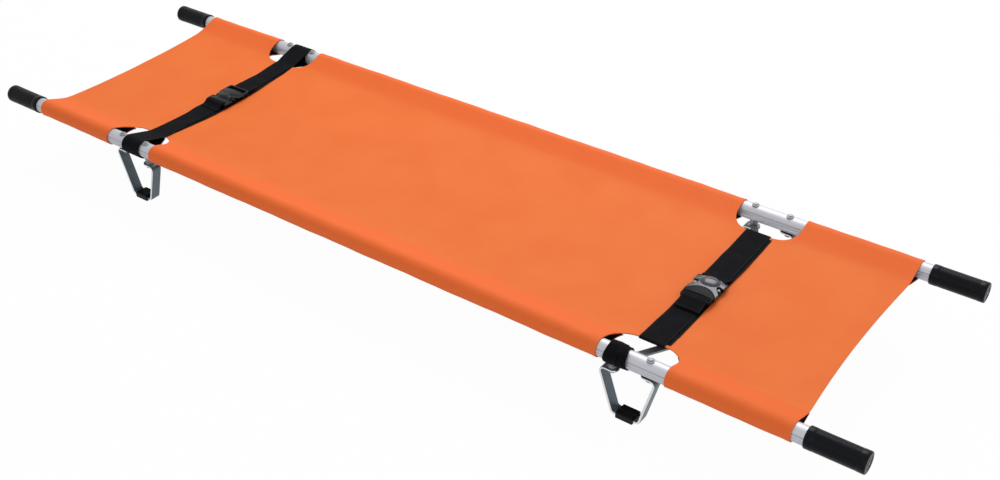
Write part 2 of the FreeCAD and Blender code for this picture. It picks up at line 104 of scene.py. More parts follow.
# ---------------------------------------------------------------- shader expressions
class Signal:
    """One output of a shader tree. Arithmetic on it adds Math nodes."""

    def __init__(self, paint, socket):
        self.paint = paint
        self.socket = socket

    def __add__(self, other):
        return self.paint.math("ADD", self, other)

    def __sub__(self, other):
        return self.paint.math("SUBTRACT", self, other)

    def __rsub__(self, other):
        return self.paint.math("SUBTRACT", other, self)

    def __mul__(self, other):
        return self.paint.math("MULTIPLY", self, other)

    def __mod__(self, other):
        return self.paint.math("FLOORED_MODULO", self, other)

    def __abs__(self):
        return self.paint.math("ABSOLUTE", self)

    def __lt__(self, other):
        return self.paint.math("LESS_THAN", self, other)

    __radd__ = __add__
    __rmul__ = __mul__


class Paint:
    """A material or a world being made: add() puts in any node, and output() joins a shader to the output."""

    def __init__(self, owner):
        self.owner = bpy.data.materials.new(owner) if isinstance(owner, str) else owner
        self.owner.use_nodes = True
        self.tree = self.owner.node_tree
        self.tree.nodes.clear()

    def add(self, kind, settings=None, output=0, **sockets):
        """Adds a node of a kind, sets its properties, then its sockets, and gives one output."""
        made = self.tree.nodes.new(kind)
        for key, value in (settings or {}).items():
            setattr(made, key, value)
        for key, value in sockets.items():
            index = key.strip("_").replace("_", " ")
            socket = made.inputs[int(index)] if index.isdigit() else made.inputs[index]
            if isinstance(value, Signal):
                self.tree.links.new(value.socket, socket)
            else:
                socket.default_value = value
        return Signal(self, made.outputs[output])

    def math(self, operation, first, second=None):
        """A Math node of one or two values."""
        values = {"_0": first} if second is None else {"_0": first, "_1": second}
        return self.add("ShaderNodeMath", {"operation": operation}, **values)

    def sine(self, value):
        """The sine of a value in radians."""
        return self.math("SINE", value)

    def smooth(self, value, low, high):
        """0 below low, 1 above high and an eased step between."""
        settings = {"interpolation_type": "SMOOTHSTEP"}
        return self.add("ShaderNodeMapRange", settings, Value=value, From_Min=low, From_Max=high)

    def blend(self, factor, first, second):
        """One colour turning into another."""
        settings = {"data_type": "RGBA"}
        return self.add("ShaderNodeMix", settings, output=2, _0=factor, _6=first, _7=second)

    def noise(self, vector, scale, detail=2.0, roughness=0.5):
        """Value noise from 0 to 1."""
        return self.add("ShaderNodeTexNoise", Vector=vector, Scale=scale, Detail=detail, Roughness=roughness)

    def place(self):
        """The piece's own object coordinates, in metres."""
        return self.add("ShaderNodeTexCoord", output=3)

    def cloth(self):
        """The piece's own UV map, in metres along and across the cloth."""
        return self.add("ShaderNodeUVMap", {"uv_map": "cloth"})

    def stretch(self, vector, scale):
        """A vector with each axis scaled."""
        return self.add("ShaderNodeMapping", Vector=vector, Scale=scale)

    def split(self, vector):
        """The X, Y and Z of a vector."""
        made = self.add("ShaderNodeSeparateXYZ", Vector=vector).socket.node
        return [Signal(self, socket) for socket in made.outputs]

    def bump(self, height, strength, distance):
        """A bumped normal."""
        return self.add("ShaderNodeBump", Height=height, Strength=strength, Distance=distance)

    def white_rays(self):
        """1 where the camera, a gloss or a glass looks, and 0 for other rays."""
        rays = self.add("ShaderNodeLightPath").socket.node.outputs
        kinds = ("Camera", "Glossy", "Transmission")
        camera, glossy, through = (Signal(self, rays[f"Is {kind} Ray"]) for kind in kinds)
        return self.math("MINIMUM", camera + glossy + through, 1.0)

    def finish(self, **sockets):
        """Joins a Principled shader with these sockets to the output."""
        shader = self.add("ShaderNodeBsdfPrincipled", **sockets)
        return self.output(shader)

    def output(self, shader, kind="ShaderNodeOutputMaterial"):
        """Joins any shader to the output, and gives the material or world."""
        out = self.tree.nodes.new(kind)
        self.tree.links.new(shader.socket, out.inputs["Surface"])
        return self.owner


# ---------------------------------------------------------------- materials
# offset of the sleeves' seams from the middle of the cover, and the double stitch row beside each
SEAM = 205 * MM
STITCH_ROWS = [sign * (SEAM - shift * MM) for sign in (-1, 1) for shift in (1.5, 7.5)]
STITCH_WIDTH, STITCH_LENGTH, STITCH_PITCH = 0.45 * MM, 2.2 * MM, 3.2 * MM
THREAD, RIB, WARP = 0.9 * MM, 1.7 * MM, 1.3 * MM


def canvas(name, colour, shade, sleeve, seams=()):
    """Plain-weave coated cloth: fine crossed threads, faint mottling, a redder sleeve colour past the seams that is
    partly painted shade, and dashed stitch lines at given offsets.
    """
    paint = Paint(name)
    cloth = paint.cloth()
    along, across, _ = paint.split(cloth)
    pitch = 2 * math.pi / THREAD
    weave = paint.sine(along * pitch) * paint.sine(across * pitch)
    mottle = paint.noise(cloth, 9.0, 3.0)
    slub = paint.noise(paint.stretch(cloth, (60.0, 900.0, 1.0)), 1.0, 2.0)
    tone = paint.smooth(mottle, 0.3, 0.7)
    base = paint.blend(tone * 0.5 + slub * 0.25, colour, shade)
    # past the seams the cloth turns to the sleeve colour, a redder orange: partly for the doubled cloth, partly painted
    # shade of the sleeves' sides
    base = paint.blend(paint.smooth(abs(across), SEAM - 1 * MM, SEAM + 6 * MM), base, sleeve)
    height = weave * 0.35 + slub * 0.5
    if seams:
        dash = (along % STITCH_PITCH) < STITCH_LENGTH
        rows = [abs(across - seam) < STITCH_WIDTH for seam in seams]
        stitch = sum(rows[1:], rows[0]) * dash
        thread_colour = tuple(min(1.0, 1.25 * c + 0.03) for c in colour[:3]) + (1,)
        base = paint.blend(stitch * 0.35, base, thread_colour)
        height = height + stitch * 1.6
    return paint.finish(
        Base_Color=base,
        Roughness=0.62 + mottle * 0.1,
        Normal=paint.bump(height, 0.35, 0.15 * MM),
        Specular_IOR_Level=0.18,
    )


def webbing():
    """Black woven webbing: fine cross ribs, a woven edge line on each side, and a little dust."""
    paint = Paint("woven_webbing")
    cloth = paint.cloth()
    along, across, _ = paint.split(cloth)
    rib = paint.sine(along * (2 * math.pi / RIB))
    warp = paint.sine(across * (2 * math.pi / WARP))
    edge = paint.smooth(abs(across), 21.5 * MM, 22.3 * MM)
    dust = paint.noise(cloth, 45.0, 4.0)
    weave = rib * 0.6 + rib * warp * 0.4
    base = paint.blend(paint.smooth(dust, 0.35, 0.75), (0.0028, 0.003, 0.0042, 1), (0.0058, 0.0062, 0.0078, 1))
    base = paint.blend(paint.smooth(weave, 0.2, 1.0) * 0.35, base, (0.009, 0.0095, 0.011, 1))
    return paint.finish(
        Base_Color=base,
        Roughness=0.72 - edge * 0.1,
        Normal=paint.bump(weave * (1 - edge * 0.6), 0.5, 0.35 * MM),
        Specular_IOR_Level=0.05,
    )


def drawn_aluminium():
    """Extruded tube: satin metal with fine draw lines along X and faint handling marks."""
    paint = Paint("drawn_aluminium")
    place = paint.place()
    lines = paint.noise(paint.stretch(place, (6.0, 1500.0, 1500.0)), 1.0, 3.0)
    marks = paint.noise(paint.stretch(place, (40.0, 160.0, 160.0)), 1.0, 4.0)
    worn = paint.smooth(marks, 0.5, 0.8)
    base = paint.blend(lines * 0.6 + worn * 0.3, (0.47, 0.47, 0.51, 1), (0.58, 0.58, 0.62, 1))
    return paint.finish(
        Base_Color=base,
        Metallic=0.8,
        Roughness=0.48 + lines * 0.12 + worn * 0.08,
        Normal=paint.bump(lines, 0.12, 0.1 * MM),
    )


def zinc_plate(name, dark, light, metal, rough):
    """Zinc plate on steel: bluish grey, faintly cloudy, with soft rolling marks."""
    paint = Paint(name)
    place = paint.place()
    cloud = paint.noise(place, 55.0, 3.0)
    grain = paint.noise(paint.stretch(place, (300.0, 300.0, 300.0)), 1.0, 4.0)
    base = paint.blend(cloud, dark, light)
    return paint.finish(
        Base_Color=base,
        Metallic=metal,
        Roughness=rough + cloud * 0.14 + grain * 0.06,
        Normal=paint.bump(grain, 0.1, 0.1 * MM),
    )


def moulded(name, colour, lift, roughness, grain_scale, bump, specular):
    """Moulded rubber or plastic: a fine pebble grain, faint colour drift and rubbed patches."""
    paint = Paint(name)
    place = paint.place()
    grain = paint.noise(place, grain_scale, 2.0)
    rub = paint.smooth(paint.noise(place, 70.0, 3.0), 0.5, 0.75)
    base = paint.blend(rub * 0.6 + grain * 0.25, colour, lift)
    return paint.finish(
        Base_Color=base,
        Roughness=roughness + rub * 0.08,
        Normal=paint.bump(grain, bump, 0.12 * MM),
        Specular_IOR_Level=specular,
    )


# name, base colour, rubbed colour, roughness, grain scale, bump and specular level
MOULDED = [
    ("grip_rubber", (0.003, 0.0035, 0.006, 1), (0.0065, 0.0075, 0.0105, 1), 0.3, 900.0, 0.12, 0.1),
    ("pad_rubber", (0.0025, 0.0025, 0.0025, 1), (0.006, 0.006, 0.006, 1), 0.5, 700.0, 0.25, 0.14),
    ("grey_plastic", (0.05, 0.052, 0.066, 1), (0.078, 0.08, 0.096, 1), 0.2, 1200.0, 0.05, 0.38),
    ("dark_plastic", (0.007, 0.0095, 0.0105, 1), (0.012, 0.015, 0.0165, 1), 0.3, 1200.0, 0.05, 0.13),
    ("black_plastic", (0.003, 0.0033, 0.004, 1), (0.006, 0.0065, 0.0075, 1), 0.42, 1200.0, 0.08, 0.07),
    # the prong tips' pale grey is a painted highlight
    ("prong_plastic", (0.17, 0.17, 0.17, 1), (0.26, 0.26, 0.25, 1), 0.35, 1200.0, 0.05, 0.5),
    ("pale_plug", (0.35, 0.35, 0.36, 1), (0.45, 0.45, 0.45, 1), 0.4, 900.0, 0.1, 0.5),
]
BLACK = (0.010, 0.010, 0.011, 1)

# the third colour is the sleeves', redder than the bed: partly doubled cloth, partly painted shade
orange = canvas(
    "orange_canvas", (0.9, 0.195, 0.04, 1), (0.86, 0.165, 0.031, 1), (0.92, 0.17, 0.036, 1), STITCH_ROWS
)
black_back = canvas("black_backing", BLACK, (0.017, 0.017, 0.018, 1), BLACK)
black_web = webbing()
aluminium = drawn_aluminium()
zinc = zinc_plate("zinc_plate", (0.22, 0.23, 0.245, 1), (0.34, 0.35, 0.365, 1), 0.6, 0.42)
# the foot strip's edges and faces are the same zinc plate painted apart: edges lighter as a painted highlight, faces
# darker and bluer as painted shade
zinc_edge_highlight = zinc_plate("zinc_sheared_edge", (0.6, 0.62, 0.63, 1), (0.76, 0.77, 0.78, 1), 0.95, 0.24)
zinc_face_shade = zinc_plate("zinc_rolled_face", (0.07, 0.098, 0.12, 1), (0.14, 0.175, 0.2, 1), 0.55, 0.34)
grip_rubber, pad_rubber, grey_plastic, dark_plastic, black_plastic, prong_plastic, pale_plug = (
    moulded(*row) for row in MOULDED
)


# ---------------------------------------------------------------- mesh making, in millimetres
def steps(*stops):
    """Even steps through (value, count) stops: count spaces lead up to each value after the first."""
    runs = [np.array([stops[0][0]], float)]
    for (start, _), (end, count) in zip(stops[:-1], stops[1:]):
        runs.append(np.linspace(start, end, count + 1)[1:])
    return np.concatenate(runs)


def ease(value, low, high):
    """0 below low, 1 above high, and a smooth cubic between."""
    t = np.clip((value - low) / (high - low), 0, 1)
    return t * t * (3 - 2 * t)


def hill(value, centre, reach):
    """1 at the centre, falling smoothly to 0 at reach on both sides."""
    return 1 - ease(np.abs(value - centre), 0, reach)


def grid_quads(rows, columns, wrap_rows=False, wrap_columns=False):
    """Corner numbers of the quads of a rows-by-columns grid of points."""
    across = np.arange(columns if wrap_columns else columns - 1)
    down = np.arange(rows if wrap_rows else rows - 1)
    c, r = np.meshgrid(across, down)
    right, below = (c + 1) % columns, (r + 1) % rows
    corners = [(r, c), (r, right), (below, right), (below, c)]
    return np.stack([row * columns + column for row, column in corners], -1).reshape(-1, 4)


def shell(points, wrap_rows=False, wrap_columns=False):
    """(points, quads) of a grid of points, shaped rows by columns by three."""
    return points.reshape(-1, 3), grid_quads(*points.shape[:2], wrap_rows, wrap_columns)


def joined(*shells):
    """Several (points, quads) as one."""
    counts = np.cumsum([0] + [len(points) for points, _ in shells])
    quads = [quads + count for (_, quads), count in zip(shells, counts)]
    return np.concatenate([points for points, _ in shells]), np.concatenate(quads)


def piece(name, points, quads, materials, body, slot, cloth=None, face_material=None, sharp=38):
    """Makes a piece from millimetre points and quads, welds its seams and poles, and rides it on its body."""
    mesh = bpy.data.meshes.new(name)
    mesh.from_pydata((points * MM).tolist(), [], quads.tolist())
    if cloth is not None:
        layer = mesh.uv_layers.new(name="cloth")
        layer.data.foreach_set("uv", (cloth * MM)[quads.reshape(-1)].astype(np.float32).reshape(-1))
    for material in materials if isinstance(materials, (list, tuple)) else [materials]:
        mesh.materials.append(material)
    if face_material is not None:
        mesh.polygons.foreach_set("material_index", face_material.astype(np.int32))
    work = bmesh.new()
    work.from_mesh(mesh)
    bmesh.ops.remove_doubles(work, verts=work.verts, dist=2e-6)
    bmesh.ops.dissolve_degenerate(work, edges=work.edges, dist=1e-7)
    bmesh.ops.recalc_face_normals(work, faces=work.faces)
    work.to_mesh(mesh)
    work.free()
    mesh.shade_smooth()
    mesh.set_sharp_from_angle(angle=math.radians(sharp))
    made = bpy.data.objects.new(name, mesh)
    bpy.context.scene.collection.objects.link(made)
    if isinstance(body, str):
        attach(made, body)
    return made


def closing(quads, count):
    """Quads that close the free edges of a sheet to its copy, whose points are numbered count further on."""
    starts, ends = quads.reshape(-1), np.roll(quads, -1, axis=1).reshape(-1)
    free = ~np.isin(starts * count + ends, ends * count + starts)
    a, b = starts[free], ends[free]
    return np.stack([b, a, a + count, b + count], -1)


def thicken(points, quads, thickness):
    """Cloth from its middle surface: each face stands half the thickness off along the normals.

    It gives points, quads, for each quad 0 for the upper face, 1 for the lower and 2 for an edge, and the points used.
    """
    used, quads = np.unique(quads, return_inverse=True)
    quads = quads.reshape(-1, 4)
    thickness = np.broadcast_to(thickness, len(points))[used]
    points = points[used]
    corner = points[quads]
    facing = np.cross(corner[:, 2] - corner[:, 0], corner[:, 3] - corner[:, 1])
    normal = np.zeros_like(points)
    for k in range(4):
        np.add.at(normal, quads[:, k], facing)
    normal *= (thickness / 2 / np.maximum(np.linalg.norm(normal, axis=1), 1e-9))[:, None]
    count = len(points)
    edge = closing(quads, count)
    kind = np.repeat([0, 1, 2], [len(quads), len(quads), len(edge)])
    quads = np.concatenate([quads, quads[:, ::-1] + count, edge])
    return np.concatenate([points + normal, points - normal]), quads, kind, used


def woven(grid, quads, thickness, along, across):
    """Thickened cloth over a grid of points, with its map: (points, quads, map, kind).

    The map is the distance along the cloth and across it, the same on both faces.
    """
    thickness = np.broadcast_to(thickness, grid.shape[:2]).reshape(-1)
    points, quads, kind, used = thicken(grid.reshape(-1, 3), quads, thickness)
    cloth = np.stack(np.broadcast_arrays(along, across), -1).reshape(-1, 2)[used]
    return points, quads, np.concatenate([cloth, cloth]), kind


def turned(profile, axis_y, axis_z, segments):
    """A closed turning about a line along X, from (x, radius) pairs."""
    profile = np.asarray(profile, float)
    angle = np.linspace(0, 2 * np.pi, segments, endpoint=False)
    x = np.repeat(profile[:, :1], segments, 1)
    y = axis_y + profile[:, 1:] * np.cos(angle)
    z = axis_z + profile[:, 1:] * np.sin(angle)
    return shell(np.stack([x, y, z], -1), wrap_columns=True)


def rounded_path(corners, radius, arc_steps=6):
    """A polyline with each inner corner replaced by an arc of the radius."""
    corners = np.asarray(corners, float)
    out = [corners[:1]]
    for before, here, after in zip(corners[:-2], corners[1:-1], corners[2:]):
        a = (before - here) / np.linalg.norm(before - here)
        b = (after - here) / np.linalg.norm(after - here)
        half = math.acos(np.clip(a @ b, -1, 1)) / 2
        centre = here + (a + b) / np.linalg.norm(a + b) * radius / math.sin(half)
        start = here + a * radius / math.tan(half) - centre
        end = here + b * radius / math.tan(half) - centre
        sweep = math.acos(np.clip(start @ end / radius**2, -1, 1))
        t = np.linspace(0, 1, arc_steps + 1)[:, None]
        out.append(centre + (np.sin((1 - t) * sweep) * start + np.sin(t * sweep) * end) / math.sin(sweep))
    out.append(corners[-1:])
    return np.concatenate(out)


def resampled(path, spacing):
    """Points a spacing apart along a polyline, with its own corners kept."""
    gaps = np.linalg.norm(np.diff(path, axis=0), axis=1)
    counts = np.maximum(1, np.ceil(gaps / spacing)).astype(int)
    shares = [np.linspace(0, 1, count, endpoint=False)[:, None] for count in counts]
    runs = [start + (end - start) * share for start, end, share in zip(path[:-1], path[1:], shares)]
    return np.concatenate(runs + [path[-1:]])


def length_along(path):
    """Distance run at each point of a polyline."""
    return np.concatenate([[0], np.cumsum(np.linalg.norm(np.diff(path, axis=0), axis=1))])


def rounded_section(width, height, radius, arc_steps=4):
    """Outline of a rectangle with round corners, as (across, up) pairs about its middle."""
    turn = np.linspace(0, np.pi / 2, arc_steps + 1)
    arcs = []
    for quarter, (sx, sy) in enumerate(((1, 1), (-1, 1), (-1, -1), (1, -1))):
        angle = turn + quarter * np.pi / 2
        across = sx * (width / 2 - radius) + radius * np.cos(angle)
        up = sy * (height / 2 - radius) + radius * np.sin(angle)
        arcs.append(np.stack([across, up], -1))
    return np.concatenate(arcs)


def capped(points):
    """Closes both ends of a wrapped grid of rings by shrinking a copy of each end ring to its middle."""
    first, last = points[:1].mean(1, keepdims=True), points[-1:].mean(1, keepdims=True)
    return np.concatenate([np.repeat(first, points.shape[1], 1), points, np.repeat(last, points.shape[1], 1)])


# ---------------------------------------------------------------- measures from the frame
POLE_Y = abs(middle("pole_near").y) / MM
POLE_Z = middle("pole_near").z / MM
POLE_R = extent("pole_near").z / MM / 2
GRIP = [v / MM for v in (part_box("grip_near_right")[0].x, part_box("grip_near_right")[1].x)]
COVER_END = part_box("cover_near")[1].x / MM
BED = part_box("cover_centre")[0].z / MM - 1.1
CLOTH = 1.2
SLEEVE_R = POLE_R + 0.5 + CLOTH / 2
SEAM_Y = SEAM / MM
# the cutouts: inboard and outboard x, inner y, and corner radius
CUT_IN, CUT_OUT, CUT_Y, CUT_R = 557, 689.5, 195, 40
# how softly the cloth turns up at the seam, how far the bed hangs, and how far each end is drawn in
SEAM_SOFTNESS = 150
SAG, BOW_LEFT, BOW_RIGHT = 7, 2, 10
# y where cover and straps part. The hinge is at 65; a little past it, the parts don't cross when they fold.
SPLIT, STRAP_SPLIT = 71, 74
# the near fold line, where cover and straps turn from the near panel to the centre one
PIVOT_X = 581.5


# ---------------------------------------------------------------- cover
def touch_angles(seam, rise, under, radius):
    """Where a strip from the seam first meets the pole's round, and where it leaves it underneath."""
    out = math.hypot(POLE_Y - seam, rise)
    top = math.atan2(rise, seam - POLE_Y) - math.acos(radius / out)
    bottom = math.atan2(under, seam - POLE_Y) + math.acos(radius / math.hypot(POLE_Y - seam, under))
    return top % (2 * math.pi), bottom


def half_section():
    """Section of the far half of the cover as (y, z): bed, bend at the seam, pole, and back under to the seam."""
    rise = BED - POLE_Z
    under = rise - 0.8 * CLOTH
    top, bottom = touch_angles(SEAM_Y, rise, under, SLEEVE_R)
    touch_y, touch_z = POLE_Y + SLEEVE_R * math.cos(top), POLE_Z + SLEEVE_R * math.sin(top)
    slope = (touch_z - BED) / (touch_y - SEAM_Y)
    corner = CUT_Y + CUT_R - CUT_R * np.cos(np.linspace(0, np.pi / 2, 15))
    bed = np.concatenate([steps((0, 0), (SPLIT, 7), (CUT_Y - 14, 12), (CUT_Y, 7))[:-1], corner])
    bend = SEAM_Y + np.array([-3, -1.5, -0.5, 0.5, 1.5, 3])
    bed = np.unique(np.round(np.concatenate([bed, bend]), 3))
    y = np.concatenate([bed, np.linspace(bed[-1], touch_y, 6)[1:]])
    past = y - SEAM_Y
    z = BED + slope * (past + np.sqrt(past**2 + SEAM_SOFTNESS)) / 2
    angle = np.linspace(top, bottom, 27)[1:]
    leave_y, leave_z = POLE_Y + SLEEVE_R * math.cos(bottom), POLE_Z + SLEEVE_R * math.sin(bottom)
    low_y = np.linspace(leave_y, SEAM_Y, 12)[1:]
    low_z = np.interp(low_y, [SEAM_Y, leave_y], [POLE_Z + under, leave_z])
    y = np.concatenate([y, POLE_Y + SLEEVE_R * np.cos(angle), low_y])
    z = np.concatenate([z, POLE_Z + SLEEVE_R * np.sin(angle), low_z])
    return np.stack([y, z], -1)


def cutout_edges(y):
    """Inboard and outboard x of a cutout at a given offset from the middle, with its corners rounded."""
    into = np.clip(CUT_Y + CUT_R - np.abs(y), 0, CUT_R)
    bulge = CUT_R - np.sqrt(CUT_R**2 - into**2)
    return CUT_IN + bulge, CUT_OUT - bulge


def cutout_distance(x, y):
    """Distance to the nearest cutout's edge: that of a round-cornered rectangle with no outer side."""
    across = np.abs(np.abs(x) - (CUT_IN + CUT_OUT) / 2) - (CUT_OUT - CUT_IN) / 2 + CUT_R
    up = CUT_Y + CUT_R - np.abs(y)
    outside = np.hypot(np.maximum(across, 0), np.maximum(up, 0))
    return outside + np.minimum(np.maximum(across, up), 0) - CUT_R


def bed_sag(x, y):
    """How far the bed hangs between the seams: a shallow parabola, a third less at the ends of the cover."""
    return SAG * np.clip(1 - (y / SEAM_Y) ** 2, 0, 1) * (1 - 0.35 * hill(np.abs(x), COVER_END, 280))


def cover_end(y, bow):
    """Distance of a cover end from the middle: straight over the sleeves, and drawn in between them by a parabola."""
    return COVER_END - bow * np.clip(1 - (y / SEAM_Y) ** 2, 0, 1)


def bed_waves(x, y):
    """Height of the bed's sag and slack: its hang, long ripples, and creases near the cutouts."""
    inside = np.clip(1 - (y / SEAM_Y) ** 2, 0, 1)
    ripple = 0.35 * np.sin(x / 47 + 1.3 * np.sin(y / 90)) * np.sin(y / 61 + x / 230 + 0.6)
    ripple += 0.22 * np.sin(x / 23 + y / 38 + 1.1) * np.cos(y / 29 - x / 71)
    near_cut = np.exp(-np.clip(cutout_distance(x, y), 0, None) / 45)
    crease = 0.55 * near_cut * np.sin((np.abs(x) + 1.6 * np.abs(y)) / 8.5)
    return (ripple + crease) * np.sqrt(inside) - bed_sag(x, y)


def sleeve_waves(x, y):
    """How far the sleeve's cloth stands off the pole, in and out by a fraction of a millimetre."""
    beyond = ease(np.abs(y), SEAM_Y + 4, SEAM_Y + 30)
    return beyond * (0.35 + 0.3 * np.sin(x / 31 + 0.8 * np.sin(x / 83)) + 0.18 * np.sin(x / 11 + np.abs(y) / 9))


def cover_columns(y):
    """x of each column at each row: five blocks, whose edges follow the cutouts' corners."""
    fine = steps((0, 0), (0.13, 9), (0.86, 15), (0.975, 9), (1, 7))
    long = steps((0, 0), (0.006, 4), (0.05, 11), (0.5, 38))
    long = np.concatenate([long, 1 - long[-2::-1]])
    gap = np.linspace(0, 1, 12)
    inner, outer = cutout_edges(y)
    blocks = [
        (-cover_end(y, BOW_LEFT), -outer, 1 - fine[::-1]),
        (-outer, -inner, gap),
        (-inner, inner, long),
        (inner, outer, gap),
        (outer, cover_end(y, BOW_RIGHT), fine),
    ]
    parts, kind = [], []
    for k, (low, high, share) in enumerate(blocks):
        share = share if k == len(blocks) - 1 else share[:-1]
        parts.append(low[:, None] + (high - low)[:, None] * share)
        kind += [k] * len(share)
    return np.concatenate(parts, 1), np.array(kind)


def cover_part(name, section, run):
    """One sheet of the cover between the rows of a section, with both cutouts on each side it reaches."""
    y, z = section[:, 0], section[:, 1]
    x, block = cover_columns(y)
    rows, columns = x.shape
    ys, zs = np.repeat(y[:, None], columns, 1), np.repeat(z[:, None], columns, 1)
    upper = (np.abs(ys) < SEAM_Y + 1) & (zs > BED - 0.5)
    zs = zs + np.where(upper, bed_waves(x, ys), 0)
    out_y, out_z = ys - np.sign(ys) * POLE_Y, zs - POLE_Z
    far = np.maximum(np.hypot(out_y, out_z), 1)
    off = sleeve_waves(x, ys)
    ys, zs = ys + off * out_y / far, zs + off * out_z / far
    quads = grid_quads(rows, columns)
    top_row = np.minimum(np.abs(y[:-1]), np.abs(y[1:])) >= CUT_Y - 1e-6
    row, column = quads[:, 0] // columns, quads[:, 0] % columns
    quads = quads[~(top_row[row] & np.isin(block[column], (1, 3)))]
    to_end = cover_end(ys, np.where(x > 0, BOW_RIGHT, BOW_LEFT)) - np.abs(x)
    hem = 1 - ease(np.minimum(cutout_distance(x, ys), to_end), 9, 10.5)
    hem *= ~((np.abs(ys) < CUT_Y) & (zs < BED - 6))
    grid = np.stack([x, ys, zs], -1)
    points, quads, cloth, kind = woven(grid, quads, CLOTH + 0.7 * hem, x, run[:, None])
    # the upper face and the cut edges are orange, and the lower face is black
    return piece(name, points, quads, [orange, black_back], None, "cover_fabric", cloth, kind % 2, sharp=60)


def make_cover():
    """The cover's two sheets. The far one starts where the cloth parts on the bed."""
    half = half_section()
    section = np.concatenate([(half[::-1] * [-1, 1])[:-1], half])
    run = length_along(section)
    run -= run[len(half) - 1]
    on_bed = section[:, 1] > BED - 1
    split = int(np.argmin(np.abs(section[:, 0] - SPLIT) + ~on_bed * 1000))
    main_rows, rest_rows = slice(0, split + 1), slice(split, None)
    main = cover_part("cover_sheet", section[main_rows], run[main_rows])
    rest = cover_part("cover_sheet_far", section[rest_rows], run[rest_rows])
    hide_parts("cover_near", "cover_centre")
    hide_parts("cover_far")
    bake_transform(main)
    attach(rest, "cover_far")


make_cover()


# ---------------------------------------------------------------- metal parts kept from the frame
def wear(material, *nodes):
    """Gives frame nodes a material."""
    for node in nodes:
        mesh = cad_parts[node].data
        mesh.materials.clear()
        mesh.materials.append(material)


for side in SIDES:
    wear(aluminium, f"pole_{side}")
    wear(zinc, f"pivot_bolts_{side}", f"tail_bolts_{side}", f"bolt_nuts_{side}", f"pivot_spacers_{side}")
    for end in ENDS:
        wear(zinc, f"arm_{side}_{end}")
for end in ENDS:
    wear(zinc, f"knee_pin_{end}", f"knee_washer_{end}")


# ---------------------------------------------------------------- straps and band
PLY = 1.4
STRAP_RIGHT, STRAP_LEFT = middle("strap_right_centre").x / MM, middle("strap_left_centre").x / MM
STRAP_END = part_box("strap_right_far")[1].y / MM
STRAP_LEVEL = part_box("strap_right_near")[0].z / MM
WEB_HALF = 25
STRAP_JOIN, DRIFT = 200, 4.5


def strap_level(y):
    """Underside of a strap: it lies on the side panel, and rises a little where it crosses the middle panel."""
    return STRAP_LEVEL + 1.7 * ease(y, -92, -66) * (1 - ease(y, 100, 124)) - bed_sag(STRAP_RIGHT, y)


def web_shell(section, centre, half):
    """Webbing whose middle follows a (y, z) section, its width running along X: (points, quads, cloth map)."""
    across = np.linspace(-1, 1, 9) * np.ones((len(section), 1))
    half, centre = np.broadcast_to(half, len(section)), np.broadcast_to(centre, len(section))
    edge_thin = 1 - 0.18 * (np.abs(across) > 0.9)
    x = centre[:, None] + across * half[:, None]
    grid = np.stack(np.broadcast_arrays(x, section[:, :1], section[:, 1:]), -1)
    quads = grid_quads(*across.shape)
    return woven(grid, quads, PLY * edge_thin, length_along(section)[:, None], across * WEB_HALF)[:3]


def web_piece(name, plies, body=None):
    """One piece of webbing from several (points, quads, cloth map) plies."""
    points, quads = joined(*[(points, quads) for points, quads, _ in plies])
    cloth = np.concatenate([cloth for _, _, cloth in plies])
    return piece(name, points, quads, black_web, body, "webbing", cloth, sharp=50)


def pole_loop(seam, rise, under, radius, hand):
    """Section of webbing from a seam, round a pole and back under it, on the near (-1) or far (1) side."""
    top, bottom = touch_angles(seam, rise, under, radius)
    angle = np.linspace(top, bottom, 30)
    arc = np.stack([POLE_Y + radius * np.cos(angle), POLE_Z + radius * np.sin(angle)], -1)
    over = np.linspace([seam, POLE_Z + rise], arc[0], 9)[:-1]
    back = np.linspace(arc[-1], [seam, POLE_Z + under], 9)[1:]
    return np.concatenate([over, arc, back]) * [hand, 1]


def bed_run(start, end, lift, wave=0.0):
    """Section of webbing lying on the bed, lifted off the strap's underside, with a low ripple on the near side."""
    y = np.linspace(start, end, max(4, int(abs(end - start) / 3.5)))
    return np.stack([y, strap_level(y) + lift + wave * np.sin(y / 13) * hill(y, -125, 60)], -1)


def folded_web(hand):
    """Section of an upper ply that turns down round the cover's cut edge, by a half circle, and ends beneath it."""
    end, lower_end = hand * (CUT_Y - 0.5), hand * (CUT_Y - 16)
    upper = bed_run(STRAP_SPLIT, end, 0.1 + 1.5 * PLY, 0.5)
    lower = np.array([(end, BED - 2.2), (end - hand * 6, BED - 2.3), (lower_end, BED - 2.4)])
    angle = np.linspace(np.pi / 2, -np.pi / 2, 9)[1:-1]
    radius = (upper[-1, 1] - lower[0, 1]) / 2
    fold = np.stack([end + hand * radius * np.cos(angle), upper[-1, 1] - radius + radius * np.sin(angle)], -1)
    return np.concatenate([upper, fold, lower])


def loop_half(section):
    """Half the width of the left strap: full over the poles, drawn in a little on the bed."""
    return 25.5 - 3.5 * hill(np.abs(section[:, 0]), 130, 80)


def strap_drift(section):
    """How far the left strap lies off its line: most at the middle of the bed, by a parabola."""
    return 1.5 + DRIFT * np.clip(1 - (section[:, 0] / STRAP_JOIN) ** 2, 0, 1)


def right_strap(hand):
    """Plies of the right strap on one side of its split, and their run. The upper one folds at the cutout."""
    upper = folded_web(hand)
    second = bed_run(STRAP_SPLIT, hand * (STRAP_END - 4), PLY / 2)
    skew = 4.8 if hand > 0 else 3.4 + 1.5 * ease(-second[:, 0], 60, 180) + 1.4 * ease(second[:, 0], 20, 90)
    plies = [web_shell(upper, STRAP_RIGHT - 1.5, WEB_HALF), web_shell(second, STRAP_RIGHT + skew, WEB_HALF)]
    return plies, length_along(upper)[-1] + length_along(second)[-1]


